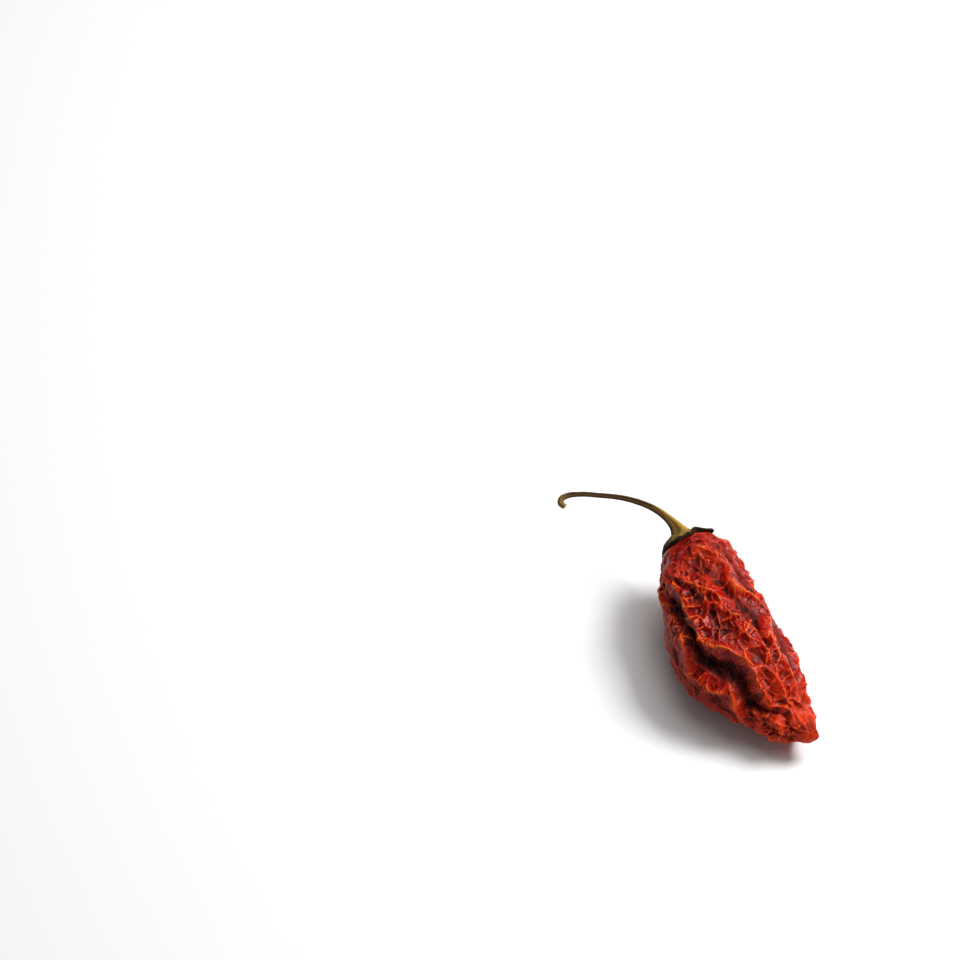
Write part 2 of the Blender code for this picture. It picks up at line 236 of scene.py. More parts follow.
@dataclass(frozen=True)
class Grid:
    """A closed surface over a grid of share (pole to pole) by angle (all the way round)."""

    rows: int
    columns: int

    def parameters(self) -> tuple[np.ndarray, np.ndarray]:
        """Share and angle at every vertex: the inner rows in order, then the two poles."""
        share = np.linspace(0, 1, self.rows + 1)[1:-1]
        angle = np.arange(self.columns) * math.tau / self.columns
        shares, angles = np.meshgrid(share, angle, indexing="ij")
        return np.append(shares.ravel(), [0.0, 1.0]), np.append(angles.ravel(), [0.0, 0.0])

    def faces(self) -> tuple[np.ndarray, np.ndarray]:
        """Quads between the rows, and the triangles that close the two poles."""
        rings = self.rows - 1
        index = np.arange(rings * self.columns).reshape(rings, self.columns)
        turned = np.roll(index, -1, axis=1)
        quads = np.stack([index[:-1], index[1:], turned[1:], turned[:-1]], axis=-1).reshape(-1, 4)
        first, last = rings * self.columns, rings * self.columns + 1
        start = np.stack([np.full(self.columns, first), index[0], turned[0]], axis=-1)
        end = np.stack([np.full(self.columns, last), turned[-1], index[-1]], axis=-1)
        return quads, np.concatenate([start, end])

    def rows_of(self, values: np.ndarray) -> np.ndarray:
        """A vertex field without its poles, as rows by columns."""
        return values[:-2].reshape(self.rows - 1, self.columns)

    def build(
        self, name: str, points: np.ndarray, fields: dict[str, np.ndarray]
    ) -> bpy.types.Object:
        """Makes the mesh object.

        Args:
            name: the object's name.
            points: every vertex's place in metres.
            fields: number attributes to store on the vertices.

        Returns:
            The smooth-shaded object, linked to the scene.
        """
        quads, triangles = self.faces()
        mesh = bpy.data.meshes.new(name)
        mesh.vertices.add(len(points))
        mesh.vertices.foreach_set("co", points.astype(np.float32).ravel())
        corners = np.concatenate([quads.ravel(), triangles.ravel()])
        sizes = np.concatenate([np.full(len(quads), 4), np.full(len(triangles), 3)])
        mesh.loops.add(len(corners))
        mesh.loops.foreach_set("vertex_index", corners.astype(np.int32))
        starts = np.concatenate([[0], np.cumsum(sizes)[:-1]])
        mesh.polygons.add(len(sizes))
        mesh.polygons.foreach_set("loop_start", starts.astype(np.int32))
        mesh.update(calc_edges=True)
        mesh.validate()
        for label, values in fields.items():
            attribute = mesh.attributes.new(label, "FLOAT", "POINT")
            attribute.data.foreach_set("value", values.astype(np.float32))
        mesh.shade_smooth()
        made = bpy.data.objects.new(name, mesh)
        bpy.context.scene.collection.objects.link(made)
        return made


class Nodes:
    """A short way to write a material's node tree."""

    def __init__(self, name: str) -> None:
        """Starts a Principled material.

        Args:
            name: the material's name.
        """
        self.material = bpy.data.materials.new(name)
        self.material.use_nodes = True
        self.tree = self.material.node_tree
        self.shader = self.tree.nodes["Principled BSDF"]

    def add(
        self, kind: str, links: dict[str | int, object] | None = None, **settings: object
    ) -> bpy.types.Node:
        """Adds a node.

        Args:
            kind: the node's type without its ShaderNode prefix.
            links: input to value or output socket.
            settings: the node's own properties.

        Returns:
            The node.
        """
        node = self.tree.nodes.new("ShaderNode" + kind)
        for key, value in settings.items():
            setattr(node, key, value)
        for key, value in (links or {}).items():
            self.feed(node.inputs[key], value)
        return node

    def feed(self, socket: bpy.types.NodeSocket, value: object) -> None:
        """Links an output to a socket, or sets the socket's own value."""
        if isinstance(value, bpy.types.NodeSocket):
            self.tree.links.new(value, socket)
        else:
            socket.default_value = value

    def attribute(self, name: str) -> bpy.types.NodeSocket:
        """The number stored on the mesh under a name."""
        return self.add("Attribute", attribute_name=name).outputs["Fac"]

    def noise(self, scale_mm: float, detail: float = 2.0) -> bpy.types.NodeSocket:
        """Soft noise on object coordinates, with bumps of a size in millimetres."""
        where = self.add("TexCoord").outputs["Object"]
        links = {"Vector": where, "Scale": 1 / (scale_mm * MM), "Detail": detail}
        return self.add("TexNoise", links).outputs["Fac"]

    def spread(
        self, value: object, low: float, high: float, to_low: float = 0.0, to_high: float = 1.0
    ) -> bpy.types.NodeSocket:
        """A value's range low to high, clamped and carried to another range."""
        links = {"Value": value, "From Min": low, "From Max": high}
        links.update({"To Min": to_low, "To Max": to_high})
        return self.add("MapRange", links).outputs["Result"]

    def ramp(self, value: object, stops: tuple[tuple[float, Colour], ...]) -> bpy.types.NodeSocket:
        """A colour ramp of (place, colour) stops."""
        node = self.add("ValToRGB", {"Fac": value})
        elements = node.color_ramp.elements
        while len(elements) < len(stops):
            elements.new(0.5)
        for element, (place, colour) in zip(elements, stops):
            element.position = place
            element.color = (*colour, 1)
        return node.outputs["Color"]

    def mix(
        self, share: object, first: object, second: object, blend: str = "MIX"
    ) -> bpy.types.NodeSocket:
        """Two colours mixed by a share."""
        node = self.add("Mix", data_type="RGBA", blend_type=blend)
        self.feed(node.inputs["Factor"], share)
        for socket, colour in ((node.inputs[6], first), (node.inputs[7], second)):
            self.feed(socket, colour if isinstance(colour, bpy.types.NodeSocket) else (*colour, 1))
        return node.outputs[2]

    def maths(self, operation: str, first: object, second: object) -> bpy.types.NodeSocket:
        """A sum, product or other operation on two numbers."""
        return self.add("Math", {0: first, 1: second}, operation=operation).outputs[0]

    def bump(self, height: object, depth_mm: float) -> None:
        """Bumps the surface by a 0 to 1 height, so many millimetres deep."""
        links = {"Height": height, "Distance": depth_mm * MM}
        self.feed(self.shader.inputs["Normal"], self.add("Bump", links).outputs["Normal"])


@dataclass(frozen=True)
class SkinFinish:
    """Dried pepper skin: red, with painted shade in the pockets and hollows, painted orange rim light
    on the thin crests, softly glossy.
    """

    # pocket: near black, painted shade in the pockets, also mixed into random dark patches;
    # crest_rim_light: painted orange rim light
    pocket: Colour = (0.055, 0.0006, 0.0005)
    slope: Colour = (0.25, 0.003, 0.0005)
    shoulder: Colour = (0.42, 0.012, 0.002)
    crest_rim_light: Colour = (0.70, 0.10, 0.010)
    faded: Colour = (0.44, 0.034, 0.010)
    tip: Colour = (0.86, 0.055, 0.001)
    places: tuple[float, float, float, float] = (0.1, 0.42, 0.68, 0.98)
    roughness: float = 0.26
    specular: float = 0.14
    grain_mm: float = 0.45
    patch_mm: float = 7.0
    mottle_mm: float = 4.0
    gloss_mm: float = 1.6
    pore_mm: float = 1.1
    bump_mm: float = 0.09

    def make(self) -> bpy.types.Material:
        """Builds the material from the mesh's rise, hollow and reach."""
        n = Nodes(Slot.POD.value)
        patchy = n.spread(n.noise(self.mottle_mm, 3.0), 0.35, 0.65, 0.45, 1.25)
        rise = n.spread(n.maths("MULTIPLY", n.attribute("rise"), patchy), -0.30, 0.42)
        grain = n.noise(self.grain_mm, 3.0)
        rise = n.maths("ADD", rise, n.spread(grain, 0.2, 0.8, -0.05, 0.05))
        # Ramp by rise: painted shade, near black, in the pockets; the skin's red on the slopes; lighter
        # red rising to painted orange rim light on the crests.
        stops = zip(self.places, (self.pocket, self.slope, self.shoulder, self.crest_rim_light))
        colour = n.ramp(rise, tuple(stops))
        tone = n.attribute("tone")
        patch = n.maths("ADD", n.noise(self.patch_mm, 3.0), n.spread(tone, 0.0, 1.0, -0.2, 0.2))
        colour = n.mix(n.spread(patch, 0.48, 0.72, 0.0, 0.7), colour, self.faded)
        colour = n.mix(n.spread(patch, 0.46, 0.28, 0.0, 0.6), colour, self.pocket)
        near_tip = n.spread(n.attribute("reach"), 0.70, 1.0, 0.0, 0.85)
        colour = n.mix(n.maths("MULTIPLY", near_tip, n.spread(rise, 0.15, 0.7)), colour, self.tip)
        # Painted shade: the hollow mask darkens the colour in the sunken valleys and the flank.
        hollow = n.spread(n.attribute("hollow"), 0.0, 1.0, 1.0, 0.25)
        shade = n.add("CombineColor", {"Red": hollow, "Green": hollow, "Blue": hollow}).outputs[0]
        colour = n.mix(1.0, colour, shade, "MULTIPLY")
        n.feed(n.shader.inputs["Base Color"], colour)
        gloss = n.maths("ADD", n.noise(self.gloss_mm), n.spread(tone, 0.0, 1.0, 0.25, -0.25))
        roughness = n.spread(gloss, 0.2, 0.8, self.roughness - 0.12, self.roughness + 0.14)
        dull = n.spread(n.attribute("hollow"), 0.1, 0.6, 0.0, 0.4)
        dull = n.maths("ADD", dull, n.spread(n.attribute("reach"), 0.75, 1.0, 0.0, 0.25))
        n.feed(n.shader.inputs["Roughness"], n.maths("ADD", roughness, dull))
        n.shader.inputs["Specular IOR Level"].default_value = self.specular
        n.bump(n.maths("ADD", grain, n.noise(self.pore_mm, 4.0)), self.bump_mm)
        return n.material


@dataclass(frozen=True)
class CalyxFinish:
    """Dried calyx: olive on the collar, with painted gold highlight on its raised veins and painted
    shade between them, near black at the rim, and painted shade on the side turned from the light.
    """

    centre: Colour = (0.38, 0.22, 0.036)
    collar: Colour = (0.19, 0.105, 0.02)
    gold: Colour = (0.33, 0.20, 0.045)
    cap: Colour = (0.035, 0.016, 0.005)
    rim: Colour = (0.007, 0.0035, 0.002)
    places: tuple[float, float, float] = (0.78, 0.86, 0.93)
    roughness: float = 0.62
    specular: float = 0.06
    waver_mm: float = 1.3
    speck_mm: float = 0.6
    grain_mm: float = 0.35
    bump_mm: float = 0.16

    def make(self) -> bpy.types.Material:
        """Builds the material from the mesh's reach, pole to rim, its veins and its painted shade mask.
        """
        n = Nodes(Slot.CALYX.value)
        vein = n.attribute("vein")
        reach = n.spread(n.noise(self.waver_mm, 3.0), 0.2, 0.8, -0.1, 0.1)
        reach = n.maths("ADD", n.attribute("reach"), reach)
        colour = n.ramp(reach, tuple(zip(self.places, (self.collar, self.cap, self.rim))))
        # Painted highlight: gold on the raised veins of the collar; painted shade: cap brown between
        # the veins.
        lit = n.maths("MULTIPLY", n.spread(vein, -0.1, 0.5), n.spread(reach, 0.88, 0.7))
        colour = n.mix(lit, colour, self.gold)
        colour = n.mix(n.spread(vein, -0.1, -0.5, 0.0, 0.75), colour, self.cap)
        colour = n.mix(n.spread(reach, 0.62, 0.4, 0.0, 0.8), colour, self.centre)
        # Painted shade: near black on the side of the calyx turned from the light.
        painted_shade = n.maths("MULTIPLY", n.attribute("painted_shade"), n.spread(reach, 0.5, 0.75))
        colour = n.mix(painted_shade, colour, self.rim)
        speck = n.spread(n.noise(self.speck_mm, 4.0), 0.52, 0.68, 0.0, 0.75)
        colour = n.mix(speck, colour, self.cap)
        n.feed(n.shader.inputs["Base Color"], colour)
        n.shader.inputs["Roughness"].default_value = self.roughness
        n.shader.inputs["Specular IOR Level"].default_value = self.specular
        n.bump(n.noise(self.grain_mm, 4.0), self.bump_mm)
        return n.material


@dataclass(frozen=True)
class BarkFinish:
    """Dried stem: dark brown between the ribs, olive on them, painted gold light on the side facing the
    light near the foot, golden at the hook.
    """

    groove: Colour = (0.022, 0.011, 0.002)
    olive: Colour = (0.085, 0.042, 0.005)
    gold: Colour = (0.40, 0.225, 0.035)
    hook: Colour = (0.20, 0.12, 0.035)
    roughness: float = 0.6
    specular: float = 0.12
    streak_mm: float = 0.9
    speck_mm: float = 0.4
    grain_mm: float = 0.3
    bump_mm: float = 0.08

    def make(self) -> bpy.types.Material:
        """Builds the material from the mesh's rib, lit side and reach along the stem."""
        n = Nodes(Slot.STEM.value)
        streak = n.spread(n.noise(self.streak_mm, 3.0), 0.2, 0.8, -0.3, 0.3)
        rib = n.maths("ADD", n.attribute("rib"), streak)
        colour = n.mix(n.spread(rib, 0.1, 0.9), self.groove, self.olive)
        # Painted light: gold on the side that faces the light, near the foot.
        colour = n.mix(n.attribute("painted_light"), colour, self.gold)
        colour = n.mix(n.spread(n.attribute("reach"), 0.86, 0.97, 0.0, 0.9), colour, self.hook)
        speck = n.spread(n.noise(self.speck_mm, 4.0), 0.58, 0.8, 0.0, 0.5)
        colour = n.mix(speck, colour, self.groove)
        n.feed(n.shader.inputs["Base Color"], colour)
        n.shader.inputs["Roughness"].default_value = self.roughness
        n.shader.inputs["Specular IOR Level"].default_value = self.specular
        n.bump(n.noise(self.grain_mm, 4.0), self.bump_mm)
        return n.material


@dataclass
class Pod:
    """The fruit: a bowed spindle with main folds, pockets between them and fine creases."""

    length: float = 56.4
    profile: Knots = (
        (1.2, 0.0), (0.7, 2.5), (0.6, 4.6), (1.9, 6.5), (4.6, 8.0), (8.5, 9.3), (13.5, 10.5),
        (19.0, 11.7), (25.0, 12.4), (31.0, 12.3), (37.0, 11.0), (42.5, 9.0), (47.5, 6.5),
        (51.5, 4.7), (54.4, 3.3), (56.0, 1.9), (56.4, 0.0),
    )
    bow: Knots = (
        (0, 0), (6, -1.2), (13, -3.1), (20, -5.2), (25, -6.1), (31, -6.1), (38, -5.3), (46, -4.1),
        (52, -2.8), (56.4, -0.6),
    )
    slump: float = 0.9
    slump_angle: float = -45.0
    slump_end: tuple[float, float] = (3.0, 15.0)
    top_height: float = 0.94
    underside: Knots = (
        (0, 0.94), (8, 1.02), (16, 1.07), (23, 1.02), (29, 0.92), (36, 0.84), (44, 0.84),
        (52, 0.94), (56.4, 0.94),
    )
    folds: tuple[tuple[Knots, float], ...] = (
        (((0.06, 72), (0.15, 63), (0.22, 54), (0.29, 44), (0.39, 38), (0.53, 34), (0.58, 21),
          (0.69, 13), (0.75, 25), (0.82, 28), (0.87, 10), (0.96, 18), (1.0, 17)), 1.1),
        (((0.05, 108), (0.2, 88), (0.35, 63), (0.48, 64), (0.54, 72), (0.67, 65), (0.70, 59),
          (0.78, 84), (0.85, 110), (1.0, 118)), 0.9),
        (((0.76, 84), (0.80, 66), (0.87, 47), (0.91, 52), (1.0, 60)), 0.8),
        (((0.06, 14), (0.12, 0), (0.22, -20), (0.37, -28), (0.42, -46), (0.48, -54),
          (0.57, -32), (0.7, -28), (0.81, -29), (0.93, -16), (1.0, -10)), 0.9),
        (((0.06, 66), (0.1, 62), (0.21, 40), (0.28, 17), (0.33, 6), (0.49, -5), (0.62, -14),
          (0.76, -4), (1.0, 0)), 0.7),
        (((0.05, -62), (0.2, -76), (0.35, -72), (0.5, -88), (0.67, -70), (0.75, -58),
          (0.86, -74), (1.0, -80)), 0.9),
        (((0.05, -112), (0.2, -124), (0.4, -114), (0.6, -128), (0.8, -118), (1.0, -120)), 0.8),
        (((0.05, -148), (0.2, -155), (0.4, -157), (0.6, -152), (0.8, -160), (1.0, -150)), 1.4),
        (((0.05, 150), (0.2, 160), (0.4, 164), (0.6, 166), (0.8, 158), (1.0, 165)), 0.85),
        (((0.05, 130), (0.25, 122), (0.45, 128), (0.65, 118), (0.8, 134), (1.0, 140)), 0.6),
    )
    valleys: tuple[tuple[Knots, float, float], ...] = (
        (((0.22, 74), (0.3, 56), (0.4, 51), (0.5, 53), (0.6, 45), (0.7, 37), (0.78, 48),
          (0.88, 30)), 1.6, 3.2),
        (((0.27, -8), (0.375, -15), (0.43, -22), (0.5, -29), (0.59, -20), (0.66, -24)), 0.55, 1.0),
    )
    fold_width: float = 1.2
    hollow_depth: float = 0.95
    hollow_reach: tuple[float, float] = (0.3, 4.5)
    hollow_start: tuple[float, float] = (0.06, 0.26)
    pocket_start: tuple[float, float] = (0.04, 0.14)
    large_pocket: tuple[float, float] = (4.4, 3.4)
    large_depth: float = 0.7
    small_pocket: tuple[float, float] = (2.6, 2.0)
    small_depth: float = 0.75
    steepness: float = 5.5
    tilt: float = 1.8
    smooth_patch: float = 7.0
    fold_wander: tuple[float, float] = (3.2, 0.9)
    large_wander: tuple[float, float] = (6.0, 1.3)
    small_wander: tuple[float, float] = (2.8, 0.85)
    crease_wander: tuple[float, float] = (1.8, 0.5)
    crease_size: float = 1.4
    crease_depth: float = 0.2
    crease_sharpness: float = 2.2
    bare_from_rim: tuple[float, float] = (-0.9, 1.1)
    blur_reach: tuple[int, int, int, int] = (1, 2, 9, 34)
    rise_weight: tuple[float, float, float] = (2.6, 0.7, 0.3)
    floor_lift: float = 0.02
    grid: Grid = Grid(288, 342)

    def skin_length(self) -> float:
        """Length of the profile over the skin, from pole to pole."""
        return float(np.hypot(*np.diff(np.array(self.profile), axis=0).T).sum())

    def middle(self, share: np.ndarray, angle: np.ndarray) -> tuple[np.ndarray, np.ndarray]:
        """A point of the smooth pod: the profile turned about the bowed middle line.

        Args:
            share: 0 to 1 over the skin, calyx to tip.
            angle: round the pod.

        Returns:
            The places, and the radius at each.
        """
        profile = np.array(self.profile)
        steps = np.hypot(*np.diff(profile, axis=0).T)
        station = np.concatenate([[0.0], np.cumsum(steps)]) / steps.sum()
        along = spline(share, np.column_stack([station, profile[:, 0]]))
        radius = np.abs(spline(share, np.column_stack([station, profile[:, 1]])))
        below = ease(-np.cos(angle), 0.0, 0.8)
        height = self.top_height + (spline(along, self.underside) - self.top_height) * below
        side = spline(along, self.bow) - radius * np.sin(angle)
        slump = ease(np.cos(turn_from(angle, self.slump_angle)), -0.3, 1.0) * ease(radius, 0.0, 5.5)
        along = along + self.slump * slump * (1 - ease(along, *self.slump_end))
        return np.stack([along, side, radius * np.cos(angle) * height], axis=-1), radius

    def base(
        self, share: np.ndarray, angle: np.ndarray
    ) -> tuple[np.ndarray, np.ndarray, np.ndarray]:
        """The smooth pod's places, outward normals and radii."""
        points, radius = self.middle(share, angle)
        tiny = 1e-4
        ahead, behind = np.minimum(share + tiny, 1), np.maximum(share - tiny, 0)
        along = self.middle(ahead, angle)[0] - self.middle(behind, angle)[0]
        round_it = [np.zeros_like(angle), -np.cos(angle), -np.sin(angle) * self.top_height]
        normal = np.cross(np.stack(round_it, axis=-1), along)
        normal /= np.maximum(np.linalg.norm(normal, axis=-1, keepdims=True), 1e-12)
        return points, normal, radius

    def fold_height(
        self, length_share: np.ndarray, angle: np.ndarray, radius: np.ndarray
    ) -> np.ndarray:
        """Main folds: the highest of their ridges, each an exponential of the distance across it,
        less a broad hollow that eases in with the distance from the nearest fold, and less the
        valleys, each a Gaussian of the distance across it."""
        ridge = np.zeros_like(angle)
        nearest = np.full_like(angle, 99.0)
        for line, height in self.folds:
            gap = np.abs(turn_from(angle, spline(length_share, line))) * radius
            start = line[0][0]
            strength = ease(length_share, start - 0.02, start + 0.06)
            strength = strength * (1 - 0.6 * ease(length_share, 0.9, 1.0))
            gap = gap + (1 - strength) * 2 * self.hollow_reach[1]
            ridge = np.maximum(ridge, height * strength * np.exp(-gap / self.fold_width))
            nearest = np.minimum(nearest, gap)
        sunk = self.hollow_depth * ease(nearest, *self.hollow_reach)
        sunk = sunk * ease(length_share, *self.hollow_start)
        for line, depth, width in self.valleys:
            gap = np.abs(turn_from(angle, spline(length_share, line))) * radius
            start, end = line[0][0], line[-1][0]
            strength = ease(length_share, start - 0.04, start + 0.06)
            strength = strength * (1 - ease(length_share, end - 0.06, end + 0.04))
            sunk = sunk + depth * strength * np.exp(-((gap / width) ** 2))
        return ridge - sunk

    def relief(
        self, points: np.ndarray, angle: np.ndarray, radius: np.ndarray
    ) -> tuple[np.ndarray, np.ndarray]:
        """How far the skin stands out from the smooth pod, and the tone of its facets.

        The relief adds up the folds, two sizes of pockets, and creases along the middle values of
        soft noise.

        Args:
            points: places on the smooth pod.
            angle: round the pod.
            radius: of the pod at each place.

        Returns:
            The relief in millimetres, and the tone from 0 to 1.
        """
        length_share = np.clip(points[:, 0] / self.length, 0, 1)
        bend, stray = self.fold_wander
        wander = angle + stray * soft_noise(points / bend, 5) / np.maximum(radius, 2.0)
        relief = self.fold_height(length_share, wander, radius)
        along, across = self.large_pocket
        large = bent(points, *self.large_wander, 11) / np.array([along, across, across])
        full = 0.6 + 0.4 * ease(length_share, *self.pocket_start)
        height, broad_tone = pockets(large, 21, self.steepness, self.tilt)
        relief += self.large_depth * full * height
        along, across = self.small_pocket
        small = bent(points, *self.small_wander, 31) / np.array([along, across, across])
        rough = 0.5 + 0.5 * ease(soft_noise(points / self.smooth_patch, 51), -0.35, 0.25)
        height, tone = pockets(small, 41, self.steepness, self.tilt)
        relief += self.small_depth * rough * full * height
        crease = np.abs(soft_noise(bent(points, *self.crease_wander, 61) / self.crease_size, 71))
        relief += self.crease_depth * rough * np.clip(1 - self.crease_sharpness * crease, 0, 1) ** 2
        at_tip = 0.3 + 0.7 * ease(radius, 0.3, 5.0)
        relief = np.where(length_share > 0.5, relief * at_tip, relief)
        return relief, 0.65 * tone + 0.35 * broad_tone

    def build(self, rest: Rest, calyx: "Calyx") -> bpy.types.Object:
        """Makes the pod.

        Args:
            rest: the pepper's resting pose.
            calyx: the cap, under which the skin is smooth.

        Returns:
            The pod, with its rise, hollow, reach and tone stored on its vertices.
        """
        share, angle = self.grid.parameters()
        points, normal, radius = self.base(share, angle)
        bare = ease(share * self.skin_length() - calyx.rim(angle), *self.bare_from_rim)
        relief, tone = self.relief(points, angle, radius)
        relief = np.minimum(relief, relief * bare) * (0.1 + 0.9 * bare)
        skin = rest.place(points + normal * relief[:, None])
        skin[:, 2] = np.maximum(skin[:, 2], self.floor_lift)
        field = self.grid.rows_of(relief)
        sharp, near, wide, broad = (blurred(field, reach) for reach in self.blur_reach)
        fine, middling, coarse = self.rise_weight
        rise = (field - sharp) * fine + (field - near) * middling + (near - wide) * coarse
        # hollow: how far a place lies below its wider surroundings; the skin paints shade with it and
        # dulls it.
        hollow = np.clip(broad - wide - (near - wide) * 0.5, 0, 1)
        fields = {
            "rise": np.append(rise.ravel(), [0.0, 0.0]),
            "hollow": np.append(hollow.ravel(), [0.0, 0.0]),
            "reach": np.clip(points[:, 0] / self.length, 0, 1),
            "tone": tone,
        }
        made = self.grid.build("pod_wrinkled_skin", skin * MM, fields)
        made.data.materials.append(SkinFinish().make())
        return made


@dataclass
class Calyx:
    """The dried cap on the pod's shoulder, with teeth, a curled tooth and a lumpy collar."""

    gap: float = 0.3
    rim_line: Knots = (
        (-180, 6.8), (-166, 7.0), (-150, 6.3), (-135, 6.4), (-119, 7.1), (-104, 6.5),
        (-86, 6.2), (-70, 6.5), (-60, 7.1), (-52, 7.6), (-45, 7.2), (-38, 5.6), (-30, 4.5),
        (-20, 4.3), (-9, 5.2), (0, 6.3), (10, 6.6), (24, 6.9), (36, 7.3), (46, 7.0), (60, 6.5),
        (76, 6.5), (94, 6.2), (110, 6.3), (130, 7.0), (148, 6.4), (165, 7.0), (180, 6.8),
    )
    scallop_height: float = 0.12
    crease_height: float = 0.12
    creases: int = 17
    thickness: float = 0.62
    thinning: float = 0.9
    collar_radius: float = 4.0
    collar_height: float = 0.5
    collar_width: float = 0.8
    curl_angle: float = -52.0
    curl_lift: float = 0.55
    curl_width: float = 0.22
    cone_height: float = 0.95
    cone_reach: tuple[float, float] = (2.3, 5.0)
    vein_spread: float = 3.0
    vein_height: float = 0.3
    lumps: tuple[tuple[float, float, int], ...] = ((0.11, 0.9, 81), (0.06, 0.4, 85))
    sink: float = 0.15
    rim_sink: float = 0.3
    # Round the pod, the middle of the side that gets painted shade
    painted_shade_angle: float = 122.0
    grid: Grid = Grid(120, 220)

    def rim(self, angle: np.ndarray) -> np.ndarray:
        """Distance over the shoulder from the pole to the edge: a smooth curve, and small scallops
        as the product of two sines."""
        scallops = self.scallop_height * np.sin(angle * 11 + 1.0) * np.sin(angle * 4)
        return spline(np.degrees(turn_from(angle, 0.0)), self.rim_line) + scallops

    def shape(
        self, share: np.ndarray, angle: np.ndarray, pod: Pod
    ) -> tuple[np.ndarray, np.ndarray]:
        """The cap's outer face from the middle to the rim, then its inner face back.

        Each face stands over the smooth pod by the gap; the outer one adds the thickness, a
        Gaussian ring for the collar with lumps round it, and small creases, and thins to the rim.

        Args:
            share: 0 to 1 over both faces.
            angle: round the pod.
            pod: the pod that the cap sits on.

        Returns:
            The places, and the way out from the pole (0 to 1).
        """
        inner = share > 0.5
        out = np.where(inner, 1 - share, share) * 2
        rim = self.rim(angle)
        points, normal, radius = pod.base(out * rim / pod.skin_length(), angle)
        uneven = 1 + 0.3 * np.sin(angle * 6 + 0.8) + 0.2 * np.sin(angle * 9)
        ring = np.exp(-(((out * rim - self.collar_radius) / self.collar_width) ** 2))
        creases = self.crease_height * np.sin(angle * self.creases) * ease(out, 0.55, 0.8)
        thick = self.thickness + self.collar_height * uneven * ring + creases
        at_tooth = np.exp(-((turn_from(angle, self.curl_angle) / self.curl_width) ** 2))
        curl = self.curl_lift * at_tooth * ease(out, 0.72, 1.0)
        thick = thick * (1 - self.thinning * ease(out, 0.93, 1.0))
        height = self.gap + curl + np.where(inner, 0.0, thick)
        return points + normal * height[:, None], out

    def build(self, rest: Rest, pod: Pod) -> bpy.types.Object:
        """Makes the cap, with veins of soft noise stretched outwards, a cone that fills the gap
        round the stem's foot, and fine lumps.

        Args:
            rest: the pepper's resting pose.
            pod: the pod that the cap sits on.

        Returns:
            The calyx, with its reach, painted shade mask and veins stored on its vertices.
        """
        share, angle = self.grid.parameters()
        points, out = self.shape(share, angle, pod)
        from_pole = out * self.rim(angle)
        across = self.vein_spread * np.stack([np.cos(angle), np.sin(angle)], axis=-1)
        veins = soft_noise(np.column_stack([across, 0.35 * from_pole]), 87)
        veins = veins * ease(from_pole, 2.0, 3.6)
        raised = self.cone_height * (1 - ease(from_pole, *self.cone_reach))
        raised += self.vein_height * veins
        raised += sum(height * soft_noise(points / size, seed) for height, size, seed in self.lumps)
        raised -= self.rim_sink * ease(out, 0.7, 1.0)
        normal = pod.base(from_pole / pod.skin_length(), angle)[1]
        points = points + normal * (raised * (share < 0.5) - self.sink)[:, None]
        # Painted shade mask: the side of the calyx turned from the light.
        painted_shade = ease(np.cos(turn_from(angle, self.painted_shade_angle)), 0.35, 0.85)
        fields = {"reach": out, "painted_shade": painted_shade, "vein": veins}
        made = self.grid.build("calyx_cap", rest.place(points) * MM, fields)
        made.data.materials.append(CalyxFinish().make())
        return made


